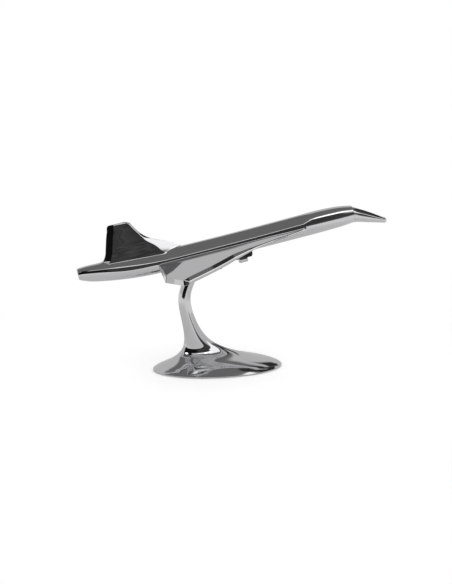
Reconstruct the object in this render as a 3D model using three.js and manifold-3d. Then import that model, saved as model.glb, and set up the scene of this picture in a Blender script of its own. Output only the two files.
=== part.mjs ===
// A polished-metal display mascot: a drooped-nose delta-wing jet held nose-up on a curved trumpet stem
// that flares into an oval foot. Millimetres, +Z up. The world origin is the middle of the felt pad's
// underside, +X is the way the nose points and +Y is the port side.
//
// The aircraft is modelled level in a frame of its own, (station, span, height), with station along
// the fuselage, and the whole group is then raised and pitched nose-up.

import * as THREE from 'three';
import { mergeVertices } from 'three/addons/utils/BufferGeometryUtils.js';
import Module from 'manifold-3d';

const wasm = await Module();
wasm.setup();

// ---------------------------------------------------------------- driving dimensions

const GAP = 0.3;                 // clearance kept between neighbouring pieces
const THROUGH = 30;              // length of a cutter that has to pass right through

const PITCH = 12.3;              // degrees the aircraft is tilted nose-up
const WAIST_HEIGHT = 106.4;      // height of the aircraft frame's origin above the table

// Fuselage: station, waist height, half-width, crown, keel, and how far the roof is faceted, 0 to 1.
const FUSELAGE_STATIONS = [
  [-118.4, 6.6, 4.3, 9.9, 1.9, 0.2],
  [-117.4, 6.6, 5.0, 10.8, 0.8, 0.2],
  [-112.0, 6.3, 6.1, 11.2, -1.5, 0.3],
  [-104.0, 5.4, 7.2, 11.1, -3.7, 0.4],
  [-95.0, 4.0, 8.2, 10.9, -5.4, 0.45],
  [-78.0, 1.2, 9.0, 10.3, -7.9, 0.6],
  [-60.0, 0.1, 9.3, 9.4, -9.4, 0.85],
  [-45.0, 0.0, 9.3, 8.7, -9.8, 1.0],
  [-20.0, 0.0, 9.3, 8.3, -10.0, 1.0],
  [15.0, 0.0, 9.3, 8.3, -10.0, 1.0],
  [50.0, 0.0, 9.3, 8.7, -10.0, 1.0],
  [76.0, 0.0, 9.2, 9.1, -9.9, 0.9],
  [86.0, -0.3, 9.0, 9.3, -9.8, 0.4],
  [96.0, -0.5, 8.7, 9.1, -9.6, 0.05],
  [108.0, -0.8, 8.0, 8.2, -9.2, 0.0],
  [118.6, -1.1, 7.2, 6.4, -8.3, 0.0],
];

// The roof's bend, as its radius over the half-width at each angle in degrees. A faceted roof has a
// tight waist, one flat facet and a broad crown; a walled one has upright sides instead of the facet.
const ROOF_WAIST_RADIUS = 0.17;
const ROOF_FACET = { angle: 48, width: 3, strength: 11 };
const ROOF_WALL = { angle: 12, width: 14, strength: 3 };
const ROOF_CROWN = { angle: 90, width: 16, strength: 0.65 };
const ROOF_POINTS = 9;
const BELLY_SIDES = 14;

// Drooped nose: station, waist height, half-width, crown, keel, faceting (-1 is walled).
const NOSE_STATIONS = [
  [118.9, -1.1, 7.2, 6.3, -8.3, 0.0],
  [121.5, -1.9, 6.8, 4.3, -8.8, -0.5],
  [127.0, -3.7, 6.2, 1.1, -10.3, -1.0],
  [137.0, -8.2, 5.1, -4.9, -13.1, -1.0],
  [145.5, -12.3, 3.9, -10.5, -15.5, -1.0],
  [147.0, -12.6, 2.8, -11.7, -14.6, -1.0],
];
const NOSE_SPIGOT = { radius: 3.2, length: 9.0, height: -0.8 };

// Tail fin, in slices from the root up:
// height, trailing edge, leading edge, half-thickness, length of the leading wedge.
const FIN_SLICES = [
  [5.6, -97.4, -25.5, 5.7, 17.0],
  [8.0, -97.0, -27.4, 5.0, 16.5],
  [10.5, -96.2, -30.4, 4.3, 16.0],
  [12.4, -94.3, -33.4, 3.8, 15.2],
  [15.4, -92.8, -40.0, 3.2, 12.3],
  [18.1, -92.0, -46.7, 2.75, 8.5],
  [21.3, -91.2, -53.3, 2.4, 4.6],
  [26.0, -89.8, -59.1, 2.15, 1.9],
  [31.4, -88.1, -63.1, 1.9, 1.4],
  [36.4, -86.5, -66.0, 1.7, 1.3],
  [38.4, -85.8, -68.0, 1.2, 1.2],
  [39.4, -84.6, -70.5, 0.6, 1.0],
];
const FIN_BEVEL = 5.5;           // width of the bevel along the trailing edge
const FIN_DOWEL = { radius: 1.2, bottom: 4.0, top: 17.0, stations: [-82, -62] };

// Wing ribs: station at the root, station at the outer edge, span of the outer edge, and the draft:
// the angle in degrees that the rim leans outward towards the underside.
const WING_RIBS = [
  [-52.3, -50.3, 38.2, 28],
  [-46.5, -44.6, 46.1, 16],
  [-40.0, -38.4, 53.9, 8],
  [-36.5, -35.2, 53.5, 8],
  [-30.0, -28.6, 50.3, 8],
  [-21.0, -20.1, 46.2, 8],
  [-13.0, -12.5, 42.4, 8],
  [-4.5, -4.5, 37.7, 8],
  [3.6, 3.6, 32.8, 8],
  [8.5, 8.5, 29.8, 8],
  [13.7, 13.7, 27.5, 8],
  [19.5, 19.5, 25.4, 8],
  [27.2, 27.2, 22.8, 8],
  [35.0, 35.0, 20.4, 8],
  [48.0, 48.0, 17.1, 8],
  [60.0, 60.0, 13.6, 8],
  [68.4, 68.4, 11.0, 8],
  [73.0, 73.0, 9.7, 8],
];
const WING_CHAMFER = 0.5;        // the rim's upper bevel ahead of the tip, over the thickness there
const WING_ANHEDRAL = 9;         // degrees the wings droop
const WING_SHOULDER = 9.3;       // span at which the droop starts
const WING_ROOT = 6.5;           // span where the root is trimmed off inside the fuselage
const WING_THICK = 4.6;          // thickness of the blunt rear half
const WING_THIN = 1.2;           // thickness of the forward strake
const WING_TAPER = [0, 40];      // stations over which the thickness falls
const TONGUE = { stations: [-44, -1], spans: [4.3, 9.9], heights: [-3.6, -1.0] };

// Nacelles hang from the wings: a long inner cell and a shorter outer cell, each with an engine barrel.
const NACELLE_REAR = -42;
const INNER_CELL = { spans: [13.0, 22.7], front: 24.0, ceiling: -2.9, floor: -9.6 };
const OUTER_CELL = { spans: [20.9, 30.9], front: -3.0, ceiling: -4.0, floor: -10.2 };
const BARREL_SEATS = [
  { name: 'inner', station: 12.3, span: 17.9, height: -10.8, radius: 3.3, length: 7.8 },
  { name: 'outer', station: -9.8, span: 26.7, height: -10.4, radius: 2.4, length: 6.4 },
];
const BARREL_BORE = { share: 0.62, depth: 3.0 };

// Stem and foot, in level sections: height, rear edge, front edge, half-width.
const STAND_SECTIONS = [
  [0.4, -55.8, 55.6, 29.8],
  [0.8, -56.2, 56.0, 30.2],
  [1.5, -56.2, 56.0, 30.2],
  [2.8, -54.6, 54.4, 28.9],
  [4.2, -51.7, 51.3, 27.4],
  [5.7, -48.3, 47.2, 25.7],
  [7.2, -44.8, 42.0, 23.8],
  [8.7, -41.7, 35.9, 21.5],
  [10.2, -39.2, 30.0, 18.6],
  [11.7, -37.2, 24.6, 15.0],
  [13.2, -35.4, 19.8, 11.85],
  [14.7, -33.9, 15.1, 9.9],
  [16.5, -32.3, 9.9, 8.4],
  [18.3, -31.1, 5.4, 7.5],
  [20.5, -30.2, 1.0, 7.0],
  [24.0, -29.3, -4.8, 6.8],
  [33.0, -29.5, -13.2, 6.5],
  [45.0, -31.6, -19.2, 6.2],
  [57.0, -33.6, -22.8, 6.0],
  [65.0, -33.6, -23.2, 5.95],
  [73.0, -31.6, -21.2, 6.0],
  [81.0, -28.6, -17.4, 6.25],
  [90.0, -24.6, -12.6, 6.7],
  [98.0, -21.0, -8.4, 7.2],
];
const STAND_SIDES = 40;
const STAND_STEPS_PER_SECTION = 2;

// Underneath the foot: a pocket takes a steel plate, held by three screws, with a felt pad below it
// that stands proud of the rim.
const POCKET = { long: 46.8, short: 22.9, ceiling: 4.7 };
const PLATE_FLOOR = 1.4;
const PAD_THICKNESS = 1.1;
const PLATE_SCREW_SPOTS = [[-28, 0], [6, 9], [6, -9]];
const OVAL_SIDES = 48;

// Fasteners: shank radius, head radius, length over all.
const LARGE_SCREW = { shank: 1.5, head: 2.9, length: 9.5 };
const SMALL_SCREW = { shank: 1.1, head: 2.1, length: 7.4 };
const SHORT_SCREW = { shank: 1.0, head: 1.9, length: 5.4 };
const SCREW_SIDES = 16;
const STUD = { radius: 2.0, below: 13.0, above: 9.5, station: -19.6, height: -10.0, lean: 23 };

const WING_SCREW_SPOTS = [[-38, 6.4], [-7, 6.4]];
const WING_SCREW_HEIGHT = -6.4;
const NOSE_SCREW = { station: 114.2, height: -8.0 };
const NACELLE_SCREW_SPOTS = [[-34, 18.1], [-16, 18.1]];

// ---------------------------------------------------------------- finishes

const polished = (name) => new THREE.MeshStandardMaterial({
  name, color: 0xd4d6d8, roughness: 0.12, metalness: 1.0,
});
const steel = (name) => new THREE.MeshStandardMaterial({
  name, color: 0x9da0a4, roughness: 0.35, metalness: 1.0,
});
const felt = (name) => new THREE.MeshStandardMaterial({
  name, color: 0x23262a, roughness: 1.0, metalness: 0.0,
});

// ---------------------------------------------------------------- solids

const radians = THREE.MathUtils.degToRad;

// Turns a geometry into a welded, position-only mesh whose faces point out.
function welded(geometry) {
  const bare = geometry.clone();
  bare.deleteAttribute('normal');
  bare.deleteAttribute('uv');
  const merged = mergeVertices(bare, 1e-4);
  const at = merged.attributes.position;
  const corners = [0, 1, 2].map(() => new THREE.Vector3());
  const index = Array.from(merged.index.array);
  let volume = 0;
  for (let i = 0; i < index.length; i += 3) {
    corners.forEach((corner, k) => corner.fromBufferAttribute(at, index[i + k]));
    volume += corners[0].dot(corners[1].clone().cross(corners[2])) / 6;
  }
  if (volume < 0) index.reverse();
  merged.setIndex(index);
  return merged;
}

function solid(geometry) {
  const mesh = welded(geometry);
  return new wasm.Manifold(new wasm.Mesh({
    numProp: 3,
    vertProperties: new Float32Array(mesh.attributes.position.array),
    triVerts: new Uint32Array(mesh.index.array),
  }));
}

function geometryOf(shape) {
  const mesh = shape.getMesh();
  const geometry = new THREE.BufferGeometry();
  geometry.setAttribute('position', new THREE.BufferAttribute(mesh.vertProperties, 3));
  geometry.setIndex(new THREE.BufferAttribute(mesh.triVerts, 1));
  return geometry;
}

// Cuts every cutter in turn from a shape.
const without = (shape, cutters) => cutters.reduce((rest, cutter) => rest.subtract(cutter), shape);

// Skins a row of rings, each counter-clockwise about the way the row runs, and caps both ends.
function loft(rings) {
  const sides = rings[0].length;
  const points = rings.flat();
  const index = [];
  for (let r = 0; r < rings.length - 1; r += 1) {
    for (let i = 0; i < sides; i += 1) {
      const next = (i + 1) % sides;
      const [a, b] = [r * sides + i, r * sides + next];
      index.push(a, b, b + sides, a, b + sides, a + sides);
    }
  }
  const last = (rings.length - 1) * sides;
  const middle = (ring) => ring.reduce((sum, p) => sum.add(p), new THREE.Vector3()).divideScalar(sides);
  points.push(middle(rings[0]), middle(rings[rings.length - 1]));
  for (let i = 0; i < sides; i += 1) {
    const next = (i + 1) % sides;
    index.push(points.length - 2, next, i, points.length - 1, last + i, last + next);
  }
  const geometry = new THREE.BufferGeometry().setFromPoints(points);
  geometry.setIndex(index);
  return geometry;
}

// The same shape on the other side of the aircraft.
function mirrored(geometry) {
  return welded(geometry.clone().applyMatrix4(new THREE.Matrix4().makeScale(1, -1, 1)));
}

function box(x, y, z) {
  const geometry = new THREE.BoxGeometry(x[1] - x[0], y[1] - y[0], z[1] - z[0]);
  return geometry.translate((x[0] + x[1]) / 2, (y[0] + y[1]) / 2, (z[0] + z[1]) / 2);
}

// A turned shape standing on z = 0, from (radius, height) pairs that start and end on the axis.
function turned(profile, sides = SCREW_SIDES) {
  const points = profile.map(([radius, height]) => new THREE.Vector2(radius, height));
  return new THREE.LatheGeometry(points, sides).rotateX(Math.PI / 2);
}

const rod = (radius, bottom, top) => turned([[0, bottom], [radius, bottom], [radius, top], [0, top]]);

const spread = (from, to, count) => Array.from({ length: count }, (_, i) => (
  from + (to - from) * (i / (count - 1))
));

// ---------------------------------------------------------------- fasteners

// A countersunk screw, head down with its face on z = 0.
function screwBlank({ shank, head, length }, grow = 0) {
  const neck = head - shank + 0.3;
  return turned([
    [0, -grow], [head + grow, -grow], [head + grow, 0.3], [shank + grow, neck + grow],
    [shank + grow, length - 0.4 + grow], [shank - 0.4 + grow, length + grow], [0, length + grow],
  ]);
}

function screwAt(size, place) {
  const slot = box([-size.head - 1, size.head + 1], [-0.35, 0.35], [-1, size.head * 0.28]);
  const shape = solid(screwBlank(size)).subtract(solid(slot));
  return geometryOf(shape).translate(...place);
}

// The hole that the screw sits in, with a round way in for the driver below the head.
function screwHole(size, place) {
  const access = rod(size.head + GAP, -THROUGH, 0.1);
  const hole = solid(screwBlank(size, GAP)).add(solid(access));
  return solid(geometryOf(hole).translate(...place));
}

// ---------------------------------------------------------------- aircraft shapes

// Half a roof, waist to crown, on unit half-width and rise, drawn from how its bend is spread.
function roofHalf(faceting) {
  const flat = faceting > 0 ? ROOF_FACET : ROOF_WALL;
  const bump = ({ angle, width, strength }, at) => strength * Math.exp(-(((at - angle) / width) ** 2));
  const path = [{ across: 0, rise: 0, length: 0, angle: 0 }];
  for (const angle of spread(0.1, 90, 900)) {
    const faceted = ROOF_WAIST_RADIUS + bump(flat, angle) + bump(ROOF_CROWN, angle);
    const radius = THREE.MathUtils.lerp(1, faceted, Math.abs(faceting));
    const { across, rise, length } = path[path.length - 1];
    path.push({
      across: across + radius * Math.sin(radians(angle)),
      rise: rise + radius * Math.cos(radians(angle)),
      length: length + radius,
      angle,
    });
  }
  const end = path[path.length - 1];
  const measure = ({ length, angle }) => length / end.length + angle / end.angle;
  return spread(0, 2, ROOF_POINTS).map((share) => {
    const { across, rise } = path.find((point) => measure(point) >= share - 1e-9);
    return [1 - across / end.across, rise / end.rise];
  });
}

// One fuselage section: a round belly under a roof that runs from round to faceted.
function section([station, waist, halfWidth, crown, keel, faceting], grow = 0) {
  const roof = roofHalf(faceting);
  const at = (y, z, reach) => new THREE.Vector3(station, y * (halfWidth + grow), waist + z * (reach + grow));
  const port = roof.map(([y, z]) => at(y, z, crown - waist));
  const starboard = roof.slice(0, -1).map(([y, z]) => at(-y, z, crown - waist)).reverse();
  const belly = spread(Math.PI, 2 * Math.PI, BELLY_SIDES + 1).slice(1, -1).map((angle) => (
    at(Math.cos(angle), Math.sin(angle), waist - keel)
  ));
  return [...port, ...starboard, ...belly];
}

const fuselageSkin = (grow) => loft(FUSELAGE_STATIONS.map((row) => section(row, grow)));

function wingThickness(station) {
  const share = THREE.MathUtils.smoothstep(station, ...WING_TAPER);
  return THREE.MathUtils.lerp(WING_THICK, WING_THIN, share);
}

// Height of the wing's flat upper face at a span.
const wingTop = (span) => -Math.max(span - WING_SHOULDER, 0) * Math.tan(radians(WING_ANHEDRAL));

// Size of the bevel along the rim's upper edge: small round the tip, and never across the wing.
function wingBevel(station, span) {
  const pastTip = THREE.MathUtils.clamp((station + 39) / 5, 0.15, 1);
  return Math.min(WING_CHAMFER * wingThickness(station) * pastTip, (span - WING_SHOULDER) * 0.3);
}

function portWingSlab(grow = 0) {
  const rim = WING_RIBS.map(([, station, span]) => new THREE.Vector2(station, span));
  const rearCorner = new THREE.Vector2(WING_RIBS[0][0], WING_SHOULDER);
  return loft(WING_RIBS.map(([rootStation, edgeStation, edge, draft], i) => {
    const thick = wingThickness(edgeStation) + grow;
    const along = (rim[i + 1] ?? rim[i]).clone().sub(rim[i - 1] ?? rearCorner).normalize();
    const flare = thick * Math.tan(radians(draft));
    const bevel = wingBevel(edgeStation, edge);
    const brow = edge - along.x * bevel;
    return [
      new THREE.Vector3(rootStation, WING_ROOT, -thick),
      new THREE.Vector3(rootStation, WING_SHOULDER, -thick),
      new THREE.Vector3(edgeStation - along.y * flare, edge + along.x * flare, wingTop(edge) - thick),
      new THREE.Vector3(edgeStation, edge, wingTop(edge) - bevel),
      new THREE.Vector3(edgeStation + along.y * bevel, brow, wingTop(brow)),
      new THREE.Vector3(rootStation, WING_SHOULDER, 0),
      new THREE.Vector3(rootStation, WING_ROOT, 0),
    ];
  }));
}

function tongue(grow) {
  const wider = (pair) => [pair[0] - grow, pair[1] + grow];
  return box(wider(TONGUE.stations), wider(TONGUE.spans), wider(TONGUE.heights));
}

function makePortWing() {
  const holes = [
    ...WING_SCREW_SPOTS.map(([station, span]) => [SMALL_SCREW, [station, span, WING_SCREW_HEIGHT]]),
    ...NACELLE_SCREW_SPOTS.map(([station, span]) => [SHORT_SCREW, [station, span, INNER_CELL.floor]]),
  ];
  const slab = solid(portWingSlab()).subtract(solid(fuselageSkin(GAP)));
  const shape = slab.add(solid(tongue(0)));
  return geometryOf(without(shape, holes.map(([size, place]) => screwHole(size, place))));
}

function makePortNacelle() {
  const cell = ({ spans, front, ceiling, floor }) => {
    const side = new THREE.Shape([
      new THREE.Vector2(NACELLE_REAR, ceiling),
      new THREE.Vector2(NACELLE_REAR, floor + 1.6),
      new THREE.Vector2(NACELLE_REAR + 5, floor),
      new THREE.Vector2(front - 1.0, floor),
      new THREE.Vector2(front, floor + 1.0),
      new THREE.Vector2(front + 1.0, ceiling),
    ]);
    const geometry = new THREE.ExtrudeGeometry(side, { depth: spans[1] - spans[0], bevelEnabled: false });
    return solid(geometry.rotateX(Math.PI / 2).translate(0, spans[1], 0));
  };
  const seats = BARREL_SEATS.map(({ station, span, height, radius, length }) => (
    solid(rod(radius + GAP, 0, length + 2 * GAP).rotateY(Math.PI / 2).translate(station - GAP, span, height))
  ));
  const holes = NACELLE_SCREW_SPOTS.map(([station, span]) => (
    screwHole(SHORT_SCREW, [station, span, INNER_CELL.floor])
  ));
  const cells = cell(INNER_CELL).add(cell(OUTER_CELL));
  return geometryOf(without(cells, [solid(portWingSlab(GAP)), ...seats, ...holes]));
}

// An engine barrel lying along the nacelle, bored at its front lip.
function barrelAt({ station, span, height, radius, length }) {
  const bore = radius * BARREL_BORE.share;
  const profile = [
    [0, 0], [radius * 0.62, 0], [radius * 0.9, 0.7], [radius, 2.0], [radius, length - 1.2],
    [radius * 0.92, length - 0.35], [bore + 0.4, length], [bore, length - 0.5],
    [bore, length - BARREL_BORE.depth], [0, length - BARREL_BORE.depth],
  ];
  return turned(profile).rotateY(Math.PI / 2).translate(station, span, height);
}

// One level slice of the fin: bevelled at the back, a wedge with a softened shoulder at the front.
function finSlice([height, trailing, leading, half, wedge]) {
  const blunt = 0.45 + Math.max(half - 2, 0) * 0.5;
  const soft = Math.min(1.6, wedge * 0.45);
  const side = [
    [leading - wedge + soft, half * (1 - soft / wedge)],
    [leading - wedge - soft, half],
    [trailing + FIN_BEVEL, half],
    [trailing, blunt],
  ];
  const port = side.map(([x, y]) => new THREE.Vector3(x, y, height));
  const starboard = side.map(([x, y]) => new THREE.Vector3(x, -y, height)).reverse();
  return [new THREE.Vector3(leading, 0, height), ...port, ...starboard];
}

const dowelSocket = (station) => solid(
  rod(FIN_DOWEL.radius + GAP, FIN_DOWEL.bottom - GAP, FIN_DOWEL.top + GAP).translate(station, 0, 0),
);

function makeFin() {
  const blade = solid(loft(FIN_SLICES.map(finSlice)));
  return geometryOf(without(blade, [solid(fuselageSkin(GAP)), ...FIN_DOWEL.stations.map(dowelSocket)]));
}

const noseScrewPlace = [NOSE_SCREW.station, 0, NOSE_SCREW.height];

function noseSpigot(grow) {
  const { radius, length, height } = NOSE_SPIGOT;
  const tip = NOSE_STATIONS[0][0];
  return rod(radius + grow, tip - length - grow, tip + 0.5).rotateY(Math.PI / 2).translate(0, 0, height);
}

function makeNose() {
  const skin = solid(loft(NOSE_STATIONS.map((row) => section(row))));
  return geometryOf(without(skin.add(solid(noseSpigot(0))), [screwHole(SMALL_SCREW, noseScrewPlace)]));
}

// The stud follows the stem's lean, through the belly into the fuselage.
function studBody(grow) {
  const { radius, below, above, station, height, lean } = STUD;
  const bottom = -below - grow;
  const top = above + grow;
  const profile = [
    [0, bottom], [radius + grow - 0.5, bottom], [radius + grow, bottom + 0.5],
    [radius + grow, top - 0.5], [radius + grow - 0.5, top], [0, top],
  ];
  return turned(profile).rotateY(radians(lean + PITCH)).translate(station, 0, height);
}

function makeFuselage() {
  const slot = solid(tongue(GAP));
  const starboardSlot = solid(mirrored(tongue(GAP)));
  const wingHoles = WING_SCREW_SPOTS.flatMap(([station, span]) => [span, -span].map((y) => (
    screwHole(SMALL_SCREW, [station, y, WING_SCREW_HEIGHT])
  )));
  return geometryOf(without(solid(fuselageSkin(0)), [
    slot, starboardSlot, ...wingHoles, solid(noseSpigot(GAP)), screwHole(SMALL_SCREW, noseScrewPlace),
    ...FIN_DOWEL.stations.map(dowelSocket), solid(studBody(GAP)),
  ]));
}

// ---------------------------------------------------------------- stand shapes

function oval(long, short, bottom, top) {
  const ring = (z) => spread(0, 2 * Math.PI, OVAL_SIDES + 1).slice(0, -1).map((angle) => (
    new THREE.Vector3(long * Math.cos(angle), short * Math.sin(angle), z)
  ));
  return loft([ring(bottom), ring(top)]);
}

function standSkin() {
  const outline = (pick) => new THREE.CatmullRomCurve3(STAND_SECTIONS.map(pick), false, 'catmullrom', 0.5);
  const rear = outline(([z, back]) => new THREE.Vector3(back, 0, z));
  const front = outline(([z, , fore, half]) => new THREE.Vector3(fore, half, z));
  const steps = (STAND_SECTIONS.length - 1) * STAND_STEPS_PER_SECTION + 1;
  return loft(spread(0, 1, steps).map((t) => {
    const back = rear.getPoint(t);
    const fore = front.getPoint(t);
    const middle = (back.x + fore.x) / 2;
    const reach = (fore.x - back.x) / 2;
    return spread(0, 2 * Math.PI, STAND_SIDES + 1).slice(0, -1).map((angle) => (
      new THREE.Vector3(middle + reach * Math.cos(angle), fore.y * Math.sin(angle), back.z)
    ));
  }));
}

const plateScrewHoles = PLATE_SCREW_SPOTS.map(([x, y]) => screwHole(LARGE_SCREW, [x, y, PLATE_FLOOR]));

function makeStand(toWorld) {
  const pocket = oval(POCKET.long, POCKET.short, -1, POCKET.ceiling);
  const belly = fuselageSkin(GAP).applyMatrix4(toWorld);
  // Whatever of the stem's top would come out above the belly is trimmed with it.
  const above = box([-90, 90], [-THROUGH, THROUGH], [0, 90]).applyMatrix4(toWorld);
  return geometryOf(without(solid(standSkin()), [
    solid(belly), solid(above), solid(pocket), ...plateScrewHoles, solid(studBody(GAP).applyMatrix4(toWorld)),
  ]));
}

function makePlate() {
  const disc = solid(oval(POCKET.long - GAP, POCKET.short - GAP, PLATE_FLOOR, POCKET.ceiling - GAP));
  return geometryOf(without(disc, plateScrewHoles));
}

// ---------------------------------------------------------------- assembly

function add(group, name, geometry, material) {
  const mesh = new THREE.Mesh(geometry, material(name));
  mesh.name = name;
  group.add(mesh);
}

const mascot = new THREE.Group();
const aircraft = new THREE.Group();
aircraft.position.z = WAIST_HEIGHT;
aircraft.rotation.y = radians(-PITCH);
aircraft.updateMatrix();
mascot.add(aircraft);

add(aircraft, 'fuselage', makeFuselage(), polished);
add(aircraft, 'droop_nose', makeNose(), polished);
add(aircraft, 'nose_screw', screwAt(SMALL_SCREW, noseScrewPlace), steel);
add(aircraft, 'tail_fin', makeFin(), polished);
FIN_DOWEL.stations.forEach((station, i) => {
  const pin = rod(FIN_DOWEL.radius, FIN_DOWEL.bottom, FIN_DOWEL.top).translate(station, 0, 0);
  add(aircraft, `fin_dowel_${i + 1}`, welded(pin), steel);
});

const wing = makePortWing();
const nacelle = makePortNacelle();
for (const side of ['port', 'starboard']) {
  const hand = side === 'port' ? (geometry) => geometry : mirrored;
  const sign = side === 'port' ? 1 : -1;
  add(aircraft, `${side}_wing`, hand(wing), polished);
  add(aircraft, `${side}_nacelle`, hand(nacelle), polished);
  BARREL_SEATS.forEach((seat) => {
    const barrel = welded(barrelAt({ ...seat, span: seat.span * sign }));
    add(aircraft, `${side}_${seat.name}_engine_barrel`, barrel, polished);
  });
  WING_SCREW_SPOTS.forEach(([station, span], i) => {
    const place = [station, span * sign, WING_SCREW_HEIGHT];
    add(aircraft, `${side}_wing_screw_${i + 1}`, screwAt(SMALL_SCREW, place), steel);
  });
  NACELLE_SCREW_SPOTS.forEach(([station, span], i) => {
    const place = [station, span * sign, INNER_CELL.floor];
    add(aircraft, `${side}_nacelle_screw_${i + 1}`, screwAt(SHORT_SCREW, place), steel);
  });
}
add(aircraft, 'stem_stud', welded(studBody(0)), steel);

add(mascot, 'stem_and_foot', makeStand(aircraft.matrix), polished);
add(mascot, 'foot_plate', makePlate(), steel);
PLATE_SCREW_SPOTS.forEach(([x, y], i) => {
  add(mascot, `plate_screw_${i + 1}`, screwAt(LARGE_SCREW, [x, y, PLATE_FLOOR]), steel);
});
add(mascot, 'felt_pad', oval(POCKET.long - GAP, POCKET.short - GAP, 0, PAD_THICKNESS), felt);

export default mascot;
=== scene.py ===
"""A polished-metal display mascot: a drooped-nose delta-wing jet, nose-up on a curved trumpet stem
that flares into an oval foot.

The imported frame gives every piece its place. The castings, the screws that show and the felt get fine
skins here, every piece gets a finish, and the whole stands on a pale studio floor. Shapes are in
millimetres: the aircraft's in a level frame of its own (station, span, height), the stand's in the
world's frame. Everything is placed in metres.
"""

import math

import bmesh
import bpy
import numpy as np
from mathutils import Matrix, Vector


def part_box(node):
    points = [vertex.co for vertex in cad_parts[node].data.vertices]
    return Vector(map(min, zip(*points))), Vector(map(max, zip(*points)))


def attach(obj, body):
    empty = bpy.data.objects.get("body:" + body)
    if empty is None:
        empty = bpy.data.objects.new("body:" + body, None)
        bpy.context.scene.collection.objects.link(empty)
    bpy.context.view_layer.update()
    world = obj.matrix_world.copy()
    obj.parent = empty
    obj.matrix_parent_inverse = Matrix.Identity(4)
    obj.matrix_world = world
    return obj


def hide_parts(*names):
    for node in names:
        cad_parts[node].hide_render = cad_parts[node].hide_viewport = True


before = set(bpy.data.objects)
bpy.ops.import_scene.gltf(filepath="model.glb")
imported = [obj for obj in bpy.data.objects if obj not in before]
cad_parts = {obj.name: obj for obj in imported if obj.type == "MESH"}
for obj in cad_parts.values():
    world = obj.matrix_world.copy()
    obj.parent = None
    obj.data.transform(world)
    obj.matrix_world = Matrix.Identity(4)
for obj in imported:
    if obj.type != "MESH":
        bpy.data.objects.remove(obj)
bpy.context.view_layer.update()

MM = 0.001

# ---------------------------------------------------------------- driving dimensions, in millimetres

# Fuselage: station, waist height, half-width, crown, keel, and how far the roof is faceted, 0 to 1.
FUSELAGE_STATIONS = [
    (-117.4, 6.6, 5.0, 10.8, 0.8, 0.2),
    (-112.0, 6.3, 6.1, 11.2, -1.5, 0.3),
    (-104.0, 5.4, 7.2, 11.1, -3.7, 0.4),
    (-95.0, 4.0, 8.2, 10.9, -5.4, 0.45),
    (-78.0, 1.2, 9.0, 10.3, -7.9, 0.6),
    (-60.0, 0.1, 9.3, 9.4, -9.4, 0.85),
    (-45.0, 0.0, 9.3, 8.7, -9.8, 1.0),
    (-20.0, 0.0, 9.3, 8.3, -10.0, 1.0),
    (15.0, 0.3, 9.3, 8.3, -10.0, 1.0),
    (50.0, 0.9, 9.3, 8.7, -10.0, 1.0),
    (70.0, 1.3, 9.25, 9.0, -9.9, 1.0),
    (75.0, 1.3, 9.2, 9.1, -9.9, 0.85),
    (80.0, 1.3, 9.1, 9.2, -9.9, 0.2),
    (86.0, 1.2, 9.0, 9.3, -9.8, 0.0),
    (96.0, 1.0, 8.7, 9.1, -9.6, 0.0),
    (108.0, 0.7, 8.0, 8.2, -9.2, 0.0),
    (118.6, 0.4, 7.2, 6.4, -8.3, 0.0),
]
TAIL_ROUNDING = 1.0
FUSELAGE_RINGS = 170

# How wide the roof's bend is, by the angle that it faces: 0 degrees is sideways and 90 is up. A faceted
# roof has a tight waist and one flat facet. A walled one has upright walls and a flat brow, with a tight
# edge between them. Both have a broad crown.
ROOF_WAIST_RADIUS = 0.35
ROOF_EDGE_RADIUS = 0.08
ROOF_FACET = {"angle": 48.0, "spread": 3.0, "strength": 11.0}
ROOF_WALL = {"angle": 5.0, "spread": 8.0, "strength": 1.6}
ROOF_BROW = {"angle": 50.0, "spread": 6.0, "strength": 5.0}
ROOF_CROWN = {"angle": 90.0, "spread": 16.0, "strength": 0.65}
ROOF_STEPS = 500                 # steps that the bend is added up in
ROOF_POINTS = 26                 # points in half a roof
BELLY_POINTS = 44

# Drooped nose: station, waist height, half-width, crown, keel, faceting (-1 is walled).
NOSE_STATIONS = [
    (118.65, 0.4, 7.2, 6.35, -8.3, 0.0),
    (121.5, -1.0, 6.8, 4.3, -8.8, -0.6),
    (127.0, -3.6, 6.2, 1.1, -10.3, -1.0),
    (137.0, -8.4, 5.1, -4.9, -13.1, -1.0),
    (145.5, -12.4, 3.9, -10.5, -15.5, -1.0),
]
NOSE_ROUNDING = 1.5
NOSE_RINGS = 40
END_RINGS = 6                    # rings in the rounding of the tail and of the nose

# Tail fin, in slices from the root up:
# height, trailing edge, leading edge, half-thickness, length of the leading wedge.
FIN_SLICES = [
    (8.0, -96.4, -27.4, 5.0, 16.5),
    (10.5, -95.8, -30.4, 4.3, 16.0),
    (12.4, -95.3, -33.4, 3.8, 15.2),
    (15.4, -93.2, -40.0, 3.2, 12.3),
    (18.1, -92.1, -46.7, 2.75, 8.5),
    (21.3, -91.2, -53.3, 2.4, 4.6),
    (26.0, -89.8, -59.1, 2.15, 1.9),
    (31.4, -88.1, -63.1, 1.9, 1.4),
    (36.4, -86.5, -66.0, 1.7, 1.3),
    (38.4, -85.8, -68.0, 1.2, 1.2),
    (39.4, -84.6, -70.5, 0.6, 1.0),
]
FIN_BEVEL = 5.5                  # length of the rear bevel
# Half-width of the trailing edge: its least, and its share of what the half-thickness has over a limit.
FIN_BLUNT = {"least": 0.45, "limit": 2.0, "share": 0.5}
# Rounding of the fin's corners in plan. The wedge's and the rear's are less on a small wedge or rear.
FIN_ROUNDING = {"front": 0.3, "wedge": 1.6, "bevel": 0.5, "rear": 0.3}
FIN_WEDGE_SHARE = 0.45
FIN_REAR_SHARE = 0.6
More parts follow.
